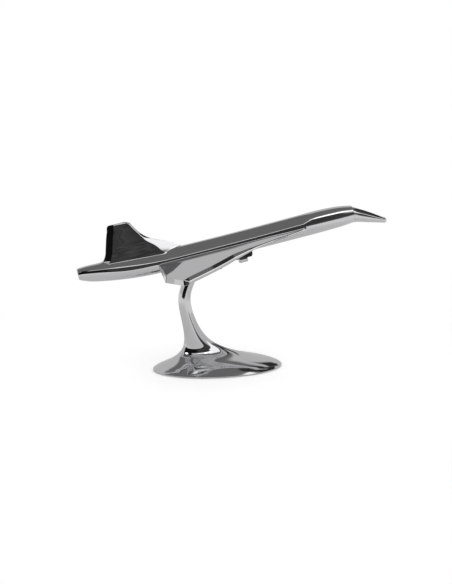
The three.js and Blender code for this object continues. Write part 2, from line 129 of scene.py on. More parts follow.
# The fin's foot follows the roof: height above it, and how far it spreads.
FIN_SKIRT = [(-0.6, 0.6), (0.0, 0.45), (0.08, 0.3), (0.2, 0.16), (0.4, 0.06), (0.7, 0.0)]
FIN_SKIRT_SLICE = 10.2           # the slice the skirt spreads from
FIN_SKIRT_BACK = 8.0             # how far it runs out behind, over its sideways spread
FIN_SKIRT_AHEAD = 2.0            # and ahead
FIN_SKIRT_GAP = 0.3              # from the skirt's last ring to the first one above it
FIN_LEVEL = 16.0                 # slices above this height are level
FIN_SWAY = 1.5                   # how fast the slices below it take on the roof's slope, as a power
FIN_RINGS = 80
FIN_DOWEL_STATIONS = (-82.0, -62.0)
FIN_DOWEL_MIDDLE = 10.5

# Wing: its rake from the trailing edge's corner to the tip, and its leading edge, as (station, span).
WING_ROOT_REAR = -52.3
WING_RAKE = [(-50.3, 38.2), (-44.6, 46.1), (-38.4, 53.9)]
WING_TIP_ROUNDING = 1.2          # in plan
WING_LEADING = [
    (-35.2, 53.5), (-28.6, 50.3), (-20.1, 46.2), (-12.5, 42.4), (-4.5, 37.7), (3.6, 32.8),
    (8.5, 29.8), (13.7, 27.3), (19.5, 24.8), (27.2, 21.9), (35.0, 19.5), (48.0, 16.8),
    (60.0, 15.0), (69.5, 13.1), (74.0, 11.5), (75.6, 9.8),
]
# How far the rim leans out towards the underside: station, degrees.
WING_DRAFT = [(-50.3, 28.0), (-44.6, 16.0), (-38.4, 8.0), (75.6, 8.0)]
WING_ANHEDRAL = (9.0, 15.5)      # droop of the upper face in degrees: main wing and strake
WING_ANHEDRAL_TURN = (4.0, 46.0) # the droop changes between these stations
WING_SHOULDER = 9.3              # span where the wing leaves the fuselage
WING_ROOT = 6.5                  # span of its inner end, inside the fuselage
WING_ROOT_TURN = (-30.0, -31.4)  # the rib whose rim is at the first station has its root at the second
WING_THICK = 4.6                 # thickness of the main wing
WING_THIN = 1.2                  # and of the strake
WING_TAPER = (0.0, 40.0)         # the thickness changes between these stations
WING_EDGE = 0.35                 # rounding of the rim
WING_EDGE_OF_BEVEL = 0.4         # the most that rounding may be, over the bevel
WING_EDGE_OF_THICKNESS = 0.2     # and over the thickness
WING_CHAMFER = 0.5               # the rim's upper bevel ahead of the tip, over the thickness there
WING_CHAMFER_REACH = 0.3         # the most it may be, over the rim's distance from the fuselage
# Along the rake and round the tip the bevel is a share of that. It grows over a stretch ahead of a station.
WING_TIP_BEVEL = {"station": -39.0, "stretch": 5.0, "share": 0.15}
WING_LEADING_RIBS = 130
WING_RAKE_GAP = 0.8              # about how far apart the ribs are along the rake
WING_END_RINGS = 4               # rings in the rounding of the trailing edge

NACELLE_REAR = -42.0
NACELLE_HEEL = {"long": 5.0, "high": 1.6}
NACELLE_CHIN = 1.0
NACELLE_LEAN = 1.0               # how far the front face leans forward at its top
NACELLE_SOFTENING = 0.5          # rounding of its edges
INNER_CELL = {"spans": (13.0, 22.7), "front": 24.0, "ceiling": -2.9, "floor": -9.6}
OUTER_CELL = {"spans": (20.9, 30.9), "front": -3.0, "ceiling": -4.0, "floor": -10.2}
BARREL_SEATS = {
    "inner": {"station": 12.3, "span": 17.9, "height": -10.8, "radius": 3.3, "length": 7.8},
    "outer": {"station": -9.8, "span": 26.7, "height": -10.4, "radius": 2.4, "length": 6.4},
}

# Barrel: sizes over its radius, lengths along it in millimetres, and the points that draw each curve.
BARREL_BORE = {"radius": 0.62, "depth": 3.0, "edge": 0.35}
BARREL_LIP = {"middle": 0.72, "reach": 0.25, "length": 0.9, "neck": 0.97, "points": 6}
BARREL_SHOULDER = {"start": 0.62, "reach": 0.38, "length": 2.2, "points": 8}

# Stem and foot, in level sections: height, rear edge, front edge, half-width.
STAND_SECTIONS = [
    (1.5, -56.2, 56.0, 30.2),
    (2.8, -54.6, 54.4, 28.9),
    (4.2, -51.7, 51.3, 27.4),
    (5.7, -48.3, 47.2, 25.7),
    (7.2, -44.8, 42.0, 23.8),
    (8.7, -41.7, 35.9, 21.5),
    (10.2, -39.2, 30.0, 18.6),
    (11.7, -37.2, 24.6, 15.0),
    (13.2, -35.4, 19.8, 11.85),
    (14.7, -33.9, 15.1, 9.9),
    (16.5, -32.3, 9.9, 8.4),
    (18.3, -31.1, 5.4, 7.5),
    (20.5, -30.2, 1.0, 7.0),
    (24.0, -29.3, -4.8, 6.8),
    (33.0, -29.5, -13.2, 6.5),
    (45.0, -31.6, -19.2, 6.2),
    (57.0, -33.6, -22.8, 6.0),
    (65.0, -33.6, -23.2, 5.95),
    (73.0, -31.6, -21.2, 6.0),
    (81.0, -28.6, -17.4, 6.25),
    (90.0, -24.6, -12.6, 6.7),
    (98.0, -21.0, -8.4, 7.2),
]
FOOT_RIM = [(0.4, 0.5), (0.55, 0.2), (0.8, 0.05), (1.2, 0.0)]    # height, and how far the rim is drawn in
POCKET = {"long": 46.8, "short": 22.9, "ceiling": 4.7}
POCKET_MOUTH = [(0.6, 0.0), (0.45, 0.15), (0.4, 0.4)]            # height, and how far the mouth flares
STAND_RINGS = 150
STAND_SIDES = 200

# The felt's edge: distance from its face, and how far it is drawn in.
PAD_EDGE = [(0.0, 0.35), (0.08, 0.1), (0.25, 0.0)]
PAD_SIDES = 180

# Fasteners: shank radius, head radius, length over all.
SMALL_SCREW = {"shank": 1.1, "head": 2.1, "length": 7.4}
SHORT_SCREW = {"shank": 1.0, "head": 1.9, "length": 5.4}
SCREW_RIM = 0.3                  # depth of the head's upright rim
SCREW_EDGE = {"draw": 0.12, "depth": 0.1}
SCREW_POINT = 0.4                # chamfer of the shank's end
SCREW_SLOT = {"half_width": 0.33, "depth": 0.28, "over": 1.0}    # the depth is a share of the head's radius
SCREW_SIDES = 48
HOLE_CLEARANCE = 0.12            # round the head
HOLE_LENGTH = 20.0
WING_SCREW_SPOTS = [(-38.0, 6.4), (-7.0, 6.4)]
WING_SCREW_HEIGHT = -6.4
NOSE_SCREW = {"station": 114.2, "height": -8.0}
NACELLE_SCREW_SPOTS = [(-34.0, 18.1), (-16.0, 18.1)]
NACELLE_SCREW_SINK = 0.4         # depth of the recess round its head
KEPT_AS_CAD = (
    "stem_stud", "fin_dowel_1", "fin_dowel_2", "foot_plate",
    "plate_screw_1", "plate_screw_2", "plate_screw_3",
)


# ---------------------------------------------------------------- frames


def middle(node):
    low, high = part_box(node)
    return (Vector(low) + Vector(high)) / 2


def aircraft_place():
    """The aircraft frame's place in the world, from the two dowels that hold the fin."""
    rear, front = middle("fin_dowel_1"), middle("fin_dowel_2")
    pitch = math.atan2(front.z - rear.z, front.x - rear.x)
    turn = Matrix.Rotation(-pitch, 4, "Y")
    local = Vector((FIN_DOWEL_STATIONS[0], 0, FIN_DOWEL_MIDDLE)) * MM
    return Matrix.Translation(rear - turn @ local) @ turn @ Matrix.Scale(MM, 4)


AIRCRAFT = aircraft_place()
WORLD = Matrix.Scale(MM, 4)


# ---------------------------------------------------------------- mesh tools


def spline(knots, values):
    """A natural cubic spline through rows of values at rising knots."""
    x = np.array(knots, float)
    y = np.array(values, float).reshape(len(x), -1)
    gap = np.diff(x)
    slope = np.diff(y, axis=0) / gap[:, None]
    system, right = np.eye(len(x)), np.zeros_like(y)
    for i in range(1, len(x) - 1):
        system[i, i - 1 : i + 2] = gap[i - 1], 2 * (gap[i - 1] + gap[i]), gap[i]
        right[i] = 6 * (slope[i] - slope[i - 1])
    bend = np.linalg.solve(system, right)

    def at(place):
        i = int(np.clip(np.searchsorted(x, place) - 1, 0, len(x) - 2))
        left, rest, width = place - x[i], x[i + 1] - place, gap[i]
        curve = (bend[i] * rest**3 + bend[i + 1] * left**3) / (6 * width)
        start = (y[i] / width - bend[i] * width / 6) * rest
        end = (y[i + 1] / width - bend[i + 1] * width / 6) * left
        return curve + (start + end)

    return at


def by_length(points, values):
    """A spline through rows of values, with the length along the points as its parameter."""
    steps = np.linalg.norm(np.diff(np.array(points, float), axis=0), axis=1)
    knots = np.concatenate([[0], np.cumsum(steps)])
    return spline(knots, values), knots


def rounded(corners, radii, steps):
    """A closed outline with its corners rounded off; a radius of 0 keeps the corner's one point."""
    corners = [np.array(corner, float) for corner in corners]
    outline = []
    for i, (corner, radius) in enumerate(zip(corners, radii)):
        if radius == 0:
            outline.append(corner)
            continue
        back, on = corners[i - 1] - corner, corners[(i + 1) % len(corners)] - corner
        back, on = back * radius / np.linalg.norm(back), on * radius / np.linalg.norm(on)
        outline += [corner + back * (1 - t) ** 2 + on * t**2 for t in np.linspace(0, 1, steps + 1)]
    return outline


def loft(rings):
    """Skins a row of closed rings and closes both ends."""
    rings = np.array(rings)
    count, sides, _ = rings.shape
    points = [*rings.reshape(-1, 3), rings[0].mean(axis=0), rings[-1].mean(axis=0)]
    faces = []
    for i in range(sides):
        after = (i + 1) % sides
        for r in range(count - 1):
            low, high = r * sides, (r + 1) * sides
            faces.append((low + i, low + after, high + after, high + i))
        last = (count - 1) * sides
        faces += [(after, i, len(points) - 2), (last + i, last + after, len(points) - 1)]
    return points, faces


def lathe(profile, sides=64):
    """Turns (radius, height) pairs that start and end on the axis about Z."""
    turns = np.linspace(0, 2 * math.pi, sides, endpoint=False)
    rings = [[(r * math.cos(a), r * math.sin(a), z) for a in turns] for r, z in profile[1:-1]]
    points, faces = loft(rings)
    points[-2] = np.array((0, 0, profile[0][1]))
    points[-1] = np.array((0, 0, profile[-1][1]))
    return points, faces


def mesh_object(name, shape, place):
    points, faces = shape
    mesh = bpy.data.meshes.new(name)
    mesh.from_pydata([tuple(p) for p in points], [], faces)
    mesh.transform(place)
    work = bmesh.new()
    work.from_mesh(mesh)
    bmesh.ops.recalc_face_normals(work, faces=work.faces)
    work.to_mesh(mesh)
    work.free()
    thing = bpy.data.objects.new(name, mesh)
    bpy.context.scene.collection.objects.link(thing)
    return thing


def settle(thing):
    """Turns a piece's modifiers into its mesh."""
    graph = bpy.context.evaluated_depsgraph_get()
    graph.update()
    mesh = bpy.data.meshes.new_from_object(thing.evaluated_get(graph))
    thing.modifiers.clear()
    thing.data = mesh


def combine(thing, others, operation):
    """Cuts or joins other closed meshes, which are used up."""
    for other in others:
        step = thing.modifiers.new(operation.lower(), "BOOLEAN")
        step.operation = operation
        step.solver = "MANIFOLD"
        step.object = other
    settle(thing)
    for other in others:
        bpy.data.objects.remove(other, do_unlink=True)


def shade(thing, sharp=32.0, weighted=False):
    """Shades it smooth but for edges sharper than an angle; weighted normals keep its flats flat."""
    thing.data.shade_smooth()
    thing.data.set_sharp_from_angle(angle=math.radians(sharp))
    if weighted:
        step = thing.modifiers.new("weighted_normals", "WEIGHTED_NORMAL")
        step.keep_sharp = True
        settle(thing)
    return thing


def hand_over(thing, node, material):
    """The piece stands for its CAD node, with its finish, and rides on the part's one body."""
    thing.data.materials.clear()
    thing.data.materials.append(material)
    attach(thing, "root")
    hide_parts(node)


# ---------------------------------------------------------------- aircraft shapes


def roof_half(faceting):
    """Half a roof, waist to crown, on unit half-width and rise, drawn from how its bend is spread."""
    angle = np.linspace(0, math.pi / 2, ROOF_STEPS)

    def flattened(at):
        away = (np.degrees(angle) - at["angle"]) / at["spread"]
        return at["strength"] * np.exp(-(away**2))

    if faceting > 0:
        side = ROOF_WAIST_RADIUS + flattened(ROOF_FACET)
    else:
        side = ROOF_EDGE_RADIUS + flattened(ROOF_WALL) + flattened(ROOF_BROW)
    radius = abs(faceting) * (side + flattened(ROOF_CROWN)) + 1 - abs(faceting)
    width, rise = np.cumsum(radius * np.sin(angle)), np.cumsum(radius * np.cos(angle))
    length = np.cumsum(radius)
    measure = length / length[-1] + angle / angle[-1]
    picks = np.linspace(measure[0], measure[-1], ROOF_POINTS)
    span = 1 - np.interp(picks, measure, width) / width[-1]
    height = np.interp(picks, measure, rise) / rise[-1]
    span[0], height[0] = 1, 0
    return span, height


def section(station, waist, half_width, crown, keel, faceting):
    """One section: a round belly under a roof that is round, faceted or walled, or between."""
    span, height = roof_half(float(np.clip(faceting, -1, 1)))
    port = [(station, half_width * y, waist + (crown - waist) * z) for y, z in zip(span, height)]
    starboard = [(x, -y, z) for x, y, z in port[-2::-1]]
    below = np.linspace(math.pi, 2 * math.pi, BELLY_POINTS)[1:-1]
    belly = [(station, half_width * math.cos(a), waist + (waist - keel) * math.sin(a)) for a in below]
    return port + starboard + belly


fuselage_spline = spline([row[0] for row in FUSELAGE_STATIONS], [row[1:] for row in FUSELAGE_STATIONS])


def end_rings(station, row, rounding):
    """Rings that round a section off towards the way it faces: rear if rounding is negative."""
    rings = []
    for angle in np.linspace(math.pi / 2, 0, END_RINGS + 1)[:-1]:
        inset = abs(rounding) * (1 - math.cos(angle))
        waist, half_width, crown, keel = row[:4]
        shrunk = (waist, half_width - inset, crown - inset, keel + inset, *row[4:])
        rings.append(section(station + rounding * math.sin(angle), *shrunk))
    return rings


def fuselage_shape():
    first, last = FUSELAGE_STATIONS[0][0], FUSELAGE_STATIONS[-1][0]
    rings = end_rings(first, fuselage_spline(first), -TAIL_ROUNDING)
    rings += [section(s, *fuselage_spline(s)) for s in np.linspace(first, last, FUSELAGE_RINGS)]
    return loft(rings)


def nose_shape():
    at = spline([row[0] for row in NOSE_STATIONS], [row[1:] for row in NOSE_STATIONS])
    first, last = NOSE_STATIONS[0][0], NOSE_STATIONS[-1][0]
    rings = [section(s, *at(s)) for s in np.linspace(first, last, NOSE_RINGS)]
    return loft(rings + end_rings(last, at(last), NOSE_ROUNDING)[::-1])


def roof_height(station, span):
    waist, half_width, crown, _, faceting = fuselage_spline(station)
    spans, heights = roof_half(float(np.clip(faceting, -1, 1)))
    return waist + (crown - waist) * np.interp(abs(span) / half_width, spans[::-1], heights[::-1])


def fin_slice(trailing, leading, half, wedge, spread=0.0):
    """One slice of the fin in plan: bevelled at the back, a wedge with a soft edge at the front."""
    blunt = FIN_BLUNT["least"] + max(half - FIN_BLUNT["limit"], 0) * FIN_BLUNT["share"] + spread
    trailing = trailing - FIN_SKIRT_BACK * spread
    leading = leading + FIN_SKIRT_AHEAD * spread
    half = half + spread
    side = [(leading - wedge, half), (trailing + FIN_BEVEL, half), (trailing, blunt)]
    corners = [(leading, 0), *side, *[(x, -y) for x, y in side[::-1]]]
    front, bevel = FIN_ROUNDING["front"], FIN_ROUNDING["bevel"]
    soft = min(FIN_ROUNDING["wedge"], wedge * FIN_WEDGE_SHARE)
    rear = min(FIN_ROUNDING["rear"], blunt * FIN_REAR_SHARE)
    return rounded(corners, [front, soft, bevel, rear, rear, bevel, soft], steps=6)


def fin_shape():
    at = spline([row[0] for row in FIN_SLICES], [row[1:] for row in FIN_SLICES])
    rings = []
    for rise, spread in FIN_SKIRT:
        plan = fin_slice(*at(FIN_SKIRT_SLICE), spread)
        rings.append([(x, y, roof_height(x, y) + rise) for x, y in plan])
    start = FIN_SKIRT_SLICE + FIN_SKIRT_GAP
    for height in np.linspace(start, FIN_SLICES[-1][0], FIN_RINGS):
        sway = max(0.0, (FIN_LEVEL - height) / (FIN_LEVEL - start)) ** FIN_SWAY
        lift = FIN_SKIRT[-1][0] + FIN_SKIRT_GAP - height
        plan = fin_slice(*at(height))
        rings.append([(x, y, height + sway * (roof_height(x, y) + lift)) for x, y in plan])
    return loft(rings)


def eased(station, stretch, values):
    """Runs smoothly from the first value to the second over a stretch of stations."""
    share = float(np.clip((station - stretch[0]) / (stretch[1] - stretch[0]), 0, 1))
    return values[0] + (values[1] - values[0]) * share * share * (3 - 2 * share)


def wing_thickness(station):
    return eased(station, WING_TAPER, (WING_THICK, WING_THIN))


def wing_bevel(edge):
    """Size of the bevel along the rim's upper edge: small round the tip, and never across the wing."""
    past_tip = (edge[0] - WING_TIP_BEVEL["station"]) / WING_TIP_BEVEL["stretch"]
    share = float(np.clip(past_tip, WING_TIP_BEVEL["share"], 1))
    most = (edge[1] - WING_SHOULDER) * WING_CHAMFER_REACH
    return min(WING_CHAMFER * wing_thickness(edge[0]) * share, most)


def wing_top(station, span):
    """Height of the wing's upper face, which droops more along the strake."""
    anhedral = eased(station, WING_ANHEDRAL_TURN, WING_ANHEDRAL)
    return -(span - WING_SHOULDER) * math.tan(math.radians(anhedral))


def wing_outline():
    """The rim's upper edge in plan, from the trailing edge's outer corner round the tip to the front."""
    root = (WING_ROOT_REAR, WING_SHOULDER)
    at, knots = by_length(WING_LEADING, WING_LEADING)
    leading = [at(t) for t in np.linspace(0, knots[-1], WING_LEADING_RIBS)]
    corners = [root, *WING_RAKE, WING_LEADING[0]]
    rake = rounded(corners, [0, 0, 0, WING_TIP_ROUNDING, 0], steps=6)[1:-1]
    fine = [rake[0]]
    for start, end in zip(rake, rake[1:]):
        count = max(2, int(np.linalg.norm(np.array(end) - start) / WING_RAKE_GAP) + 1)
        fine += [start + (np.array(end) - start) * t for t in np.linspace(0, 1, count)[1:]]
    return np.array([*fine, *leading])


def wing_ring(root, edge, along, inset=0.0):
    """One rib: out along the underside, up the bevelled rim and back along the flat top."""
    thick = wing_thickness(edge[0])
    draft = np.interp(edge[0], *zip(*WING_DRAFT))
    flare = (thick - 2 * inset) * math.tan(math.radians(draft))
    reach = np.array(edge, float)
    inward = np.array((root, WING_SHOULDER)) - reach
    top = reach + inward / np.linalg.norm(inward) * inset
    low = top + np.array((-along[1], along[0])) * flare
    bevel = wing_bevel(edge)
    brow = top + np.array((along[1], -along[0])) * bevel
    corners = [
        (root, WING_ROOT, inset - thick),
        (root, WING_SHOULDER, inset - thick),
        (*low, wing_top(*reach) + inset - thick),
        (*top, wing_top(*reach) - inset - bevel),
        (*brow, wing_top(*brow) - inset),
        (root, WING_ROOT, wing_top(root, WING_ROOT) - inset),
    ]
    soft = min(WING_EDGE, bevel * WING_EDGE_OF_BEVEL)
    under = min(WING_EDGE, thick * WING_EDGE_OF_THICKNESS)
    return rounded(corners, [0, 0, under, soft, soft, 0], steps=7)


def wing_shape():
    outline = wing_outline()
    along = np.gradient(outline, axis=0)
    along /= np.linalg.norm(along, axis=1)[:, None]
    first = outline[0]
    front_end = WING_LEADING[-1][0]
    rim_turn, root_turn = WING_ROOT_TURN
    rims = [first[0], rim_turn, front_end]
    roots = np.interp(outline[:, 0], rims, [WING_ROOT_REAR, root_turn, front_end])
    rings = []
    for angle in np.linspace(math.pi / 2, 0, WING_END_RINGS + 1)[:-1]:
        back = WING_EDGE * (1 - math.sin(angle))
        inset = WING_EDGE * (1 - math.cos(angle))
        rings.append(wing_ring(roots[0] + back, first + (back, 0), along[0], inset))
    keep = outline[:, 0] > first[0] + WING_EDGE
    rings.append(wing_ring(roots[0] + WING_EDGE, first + (WING_EDGE, 0), along[0]))
    rings += [wing_ring(*rib) for rib in zip(roots[keep], outline[keep], along[keep])]
    return loft(rings)


def on_side(shape, sign):
    """The port shape as it is, or mirrored for starboard, where the sign is -1."""
    points, faces = shape
    return [np.array(p) * np.array((1, sign, 1)) for p in points], faces


def rod(radius, bottom, top):
    return lathe([(0, bottom), (radius, bottom), (radius, top), (0, top)], SCREW_SIDES)


def cell_shape(spans, front, ceiling, floor):
    """A nacelle cell: a box with its rear heel and front chin eased off."""
    side = [
        (NACELLE_REAR, ceiling),
        (NACELLE_REAR, floor + NACELLE_HEEL["high"]),
        (NACELLE_REAR + NACELLE_HEEL["long"], floor),
        (front - NACELLE_CHIN, floor),
        (front, floor + NACELLE_CHIN),
        (front + NACELLE_LEAN, ceiling),
    ]
    return loft([[(x, y, z) for x, z in side] for y in spans])


def barrel_shape(radius, length):
    """An engine barrel standing on its rear face, bored at its front lip."""
    bore, floor = radius * BARREL_BORE["radius"], length - BARREL_BORE["depth"]
    mouth = length - BARREL_LIP["length"]
    shoulder, lip = [], []
    for a in np.linspace(0, math.pi / 2, BARREL_SHOULDER["points"]):
        out = radius * BARREL_SHOULDER["start"] + radius * BARREL_SHOULDER["reach"] * math.sin(a)
        shoulder.append((out, BARREL_SHOULDER["length"] * (1 - math.cos(a))))
    for a in np.linspace(0, math.pi / 2, BARREL_LIP["points"]):
        out = radius * math.cos(a) * BARREL_LIP["reach"] + radius * BARREL_LIP["middle"]
        lip.append((out, mouth + BARREL_LIP["length"] * math.sin(a)))
    neck = (radius * BARREL_LIP["neck"], mouth)
    inside = [(bore, length - BARREL_BORE["edge"]), (bore, floor), (0, floor)]
    return lathe([(0, 0), *shoulder, neck, *lip, *inside])


def screw_shape(shank, head, length):
    """A countersunk screw, head down with its face on z = 0."""
    neck = head - shank + SCREW_RIM
    outer = [(head - SCREW_EDGE["draw"], 0), (head, SCREW_EDGE["depth"]), (head, SCREW_RIM), (shank, neck)]
    end = [(shank, length - SCREW_POINT), (shank - SCREW_POINT, length)]
    return lathe([(0, 0), *outer, *end, (0, length)], SCREW_SIDES)


def box_shape(x, y, z):
    ring = [(x[0], y[0]), (x[1], y[0]), (x[1], y[1]), (x[0], y[1])]
    return loft([[(a, b, height) for a, b in ring] for height in z])


# ---------------------------------------------------------------- stand shape


def stand_shape():
    """Foot and stem in one casting, hollowed underneath. It runs up past the belly that trims it."""
    rows = np.array(STAND_SECTIONS)
    path = [(fore, height) for height, _, fore, _ in STAND_SECTIONS]
    at, knots = by_length(path, rows)
    turns = np.linspace(0, 2 * math.pi, STAND_SIDES, endpoint=False)

    def ring(height, rear, fore, half):
        centre, reach = (rear + fore) / 2, (fore - rear) / 2
        return [(centre + reach * math.cos(a), half * math.sin(a), height) for a in turns]

    def pocket(height, grow=0.0):
        long, short = POCKET["long"] + grow, POCKET["short"] + grow
        return [(long * math.cos(a), short * math.sin(a), height) for a in turns]

    _, rear, fore, half = STAND_SECTIONS[0]
    rings = [pocket(POCKET["ceiling"]), *[pocket(*row) for row in POCKET_MOUTH]]
    rings += [ring(z, rear + draw, fore - draw, half - draw) for z, draw in FOOT_RIM]
    rings += [ring(*at(t)) for t in np.linspace(0, knots[-1], STAND_RINGS)]
    return loft(rings)


# ---------------------------------------------------------------- finishes

# The darker and the lighter tint of each.
ALUMINIUM_TINTS = ((0.70, 0.705, 0.715, 1), (0.76, 0.762, 0.768, 1))
STEEL_TINTS = ((0.42, 0.41, 0.40, 1), (0.58, 0.57, 0.56, 1))
FELT_TINTS = ((0.012, 0.014, 0.018, 1), (0.10, 0.11, 0.125, 1))
BUFFING_ROUGHNESS = 0.03
BUFFING_HEIGHT = 0.004


class Nodes:
    """A node tree being written: each call adds one node and links what it is given."""

    def __init__(self, tree):
        self.tree = tree
        tree.nodes.clear()

    def add(self, kind, settings=(), **inputs):
        node = self.tree.nodes.new(kind)
        for key, value in dict(settings).items():
            setattr(node, key, value)
        for key, value in inputs.items():
            self.feed(node.inputs[key], value)
        return node

    def feed(self, socket, value):
        if isinstance(value, bpy.types.NodeSocket):
            self.tree.links.new(value, socket)
        else:
            socket.default_value = value

    def math(self, operation, *values):
        node = self.add("ShaderNodeMath", {"operation": operation})
        for socket, value in zip(node.inputs, values):
            self.feed(socket, value)
        return node.outputs[0]

    def ramp(self, value, low, high, start=0.0, end=1.0):
        """A smooth step: start below low and end above high."""
        node = self.add("ShaderNodeMapRange", {"interpolation_type": "SMOOTHSTEP"})
        for socket, given in zip(node.inputs, (value, low, high, start, end)):
            self.feed(socket, given)
        return node.outputs[0]

    def band(self, value, low, high, soft):
        """1 between low and high, with soft edges."""
        rising = self.ramp(value, low - soft, low + soft)
        return self.math("MULTIPLY", rising, self.ramp(value, high - soft, high + soft, 1.0, 0.0))

    def painted(self, level, share, new):
        """The level with a new one painted over a share of it."""
        change = self.math("MULTIPLY", self.math("SUBTRACT", new, level), share)
        return self.math("ADD", level, change)

    def noise(self, vector, scale, detail=3.0, rough=0.5):
        node = self.add("ShaderNodeTexNoise", Vector=vector, Scale=scale, Detail=detail, Roughness=rough)
        return node.outputs["Fac"]

    def stretched(self, vector, x, y, z):
        node = self.add("ShaderNodeVectorMath", {"operation": "MULTIPLY"})
        self.feed(node.inputs[0], vector)
        node.inputs[1].default_value = (x, y, z)
        return node.outputs[0]

    def mix_colour(self, share, first, second):
        node = self.add("ShaderNodeMix", {"data_type": "RGBA"})
        for socket, value in ((node.inputs[0], share), (node.inputs[6], first), (node.inputs[7], second)):
            self.feed(socket, value)
        return node.outputs[2]


def new_material(name):
    material = bpy.data.materials.new(name)
    material.use_nodes = True
    nodes = Nodes(material.node_tree)
    shader = nodes.add("ShaderNodeBsdfPrincipled")
    nodes.add("ShaderNodeOutputMaterial", Surface=shader.outputs[0])
    place = nodes.add("ShaderNodeTexCoord").outputs["Object"]
    return material, nodes, shader, place


def bump(nodes, shader, height, distance, strength):
    step = nodes.add("ShaderNodeBump", Height=height, Distance=distance, Strength=strength)
    nodes.feed(shader.inputs["Normal"], step.outputs[0])


def polished_aluminium():
    """Hand-polished casting: near-mirror, with faint waviness, buffing lines and clouded patches."""
    material, nodes, shader, place = new_material("polished_aluminium")
    cloud = nodes.noise(place, scale=45.0, detail=4.0)
    buffing = nodes.noise(nodes.stretched(place, x=0.15, y=1.0, z=1.0), scale=2600.0, detail=2.0)
    tint = nodes.mix_colour(cloud, *ALUMINIUM_TINTS)
    nodes.feed(shader.inputs["Base Color"], tint)
    shader.inputs["Metallic"].default_value = 1.0
    smear = nodes.ramp(cloud, low=0.35, high=0.75, start=0.035, end=0.085)
    rough = nodes.math("ADD", smear, nodes.math("MULTIPLY", buffing, BUFFING_ROUGHNESS))
    nodes.feed(shader.inputs["Roughness"], rough)
    wave = nodes.noise(place, scale=70.0, detail=1.0)
    height = nodes.math("ADD", wave, nodes.math("MULTIPLY", buffing, BUFFING_HEIGHT))
    bump(nodes, shader, height, distance=0.0001, strength=0.2)
    return material


def brushed_steel():
    """Turned steel of the screws, dowels and plate, with fine lines and a slightly browner tone."""
    material, nodes, shader, place = new_material("brushed_steel")
    lines = nodes.noise(nodes.stretched(place, x=1.0, y=0.08, z=1.0), scale=3000.0, detail=3.0)
    cloud = nodes.noise(place, scale=300.0, detail=3.0)
    tint = nodes.mix_colour(cloud, *STEEL_TINTS)
    nodes.feed(shader.inputs["Base Color"], tint)
    shader.inputs["Metallic"].default_value = 1.0
    nodes.feed(shader.inputs["Roughness"], nodes.ramp(lines, low=0.3, high=0.7, start=0.24, end=0.42))
    bump(nodes, shader, lines, distance=0.00002, strength=0.6)
    return material


def felt():
    """Dark wool felt: a matted nap with lighter fibres."""
    material, nodes, shader, place = new_material("felt")
    nap = nodes.noise(place, scale=1800.0, detail=6.0, rough=0.7)
    fibres = nodes.noise(nodes.stretched(place, x=1.0, y=0.2, z=1.0), scale=5200.0, detail=2.0)
    tint = nodes.mix_colour(nodes.math("MULTIPLY", nap, fibres), *FELT_TINTS)
    nodes.feed(shader.inputs["Base Color"], tint)
    nodes.feed(shader.inputs["Roughness"], nodes.ramp(nap, low=0.2, high=0.8, start=0.9, end=1.0))
    shader.inputs["Sheen Weight"].default_value = 0.35
    bump(nodes, shader, nodes.math("ADD", nap, fibres), distance=0.0004, strength=0.8)
    return material


ALUMINIUM, STEEL, FELT = polished_aluminium(), brushed_steel(), felt()

# ---------------------------------------------------------------- assembly


def at_spot(shape, spot):
    points, faces = shape
    return [np.array(p) + np.array(spot, float) for p in points], faces


def hole(screw, spot):
    """The round way in below a screw's head, as a cutter."""
    way_in = rod(screw["head"] + HOLE_CLEARANCE, -HOLE_LENGTH, 0.0)
    return mesh_object("hole", at_spot(way_in, spot), AIRCRAFT)


def add_screw(node, screw, spot):
    thing = mesh_object(node + "_fine", at_spot(screw_shape(**screw), spot), AIRCRAFT)
    reach = screw["head"] + SCREW_SLOT["over"]
    wide = (-SCREW_SLOT["half_width"], SCREW_SLOT["half_width"])
    deep = (-SCREW_SLOT["over"], screw["head"] * SCREW_SLOT["depth"])
    slot_way = at_spot(box_shape((-reach, reach), wide, deep), spot)
    combine(thing, [mesh_object("slot_way", slot_way, AIRCRAFT)], "DIFFERENCE")
    hand_over(shade(thing, 30), node, STEEL)


def add_casting(name, node, shape, place, cutters=(), weighted=False):
    thing = mesh_object(name, shape, place)
    if cutters:
        combine(thing, cutters, "DIFFERENCE")
    hand_over(shade(thing, weighted=weighted), node, ALUMINIUM)


wing_screws = []
for station, span in WING_SCREW_SPOTS:
    wing_screws += [(station, sign * span, WING_SCREW_HEIGHT) for sign in (1, -1)]
nose_screw = (NOSE_SCREW["station"], 0.0, NOSE_SCREW["height"])

add_casting("fuselage_casting", "fuselage", fuselage_shape(), AIRCRAFT,
            [hole(SMALL_SCREW, spot) for spot in [*wing_screws, nose_screw]])
add_casting("droop_nose_casting", "droop_nose", nose_shape(), AIRCRAFT)
add_casting("tail_fin_casting", "tail_fin", fin_shape(), AIRCRAFT)
add_screw("nose_screw", SMALL_SCREW, nose_screw)

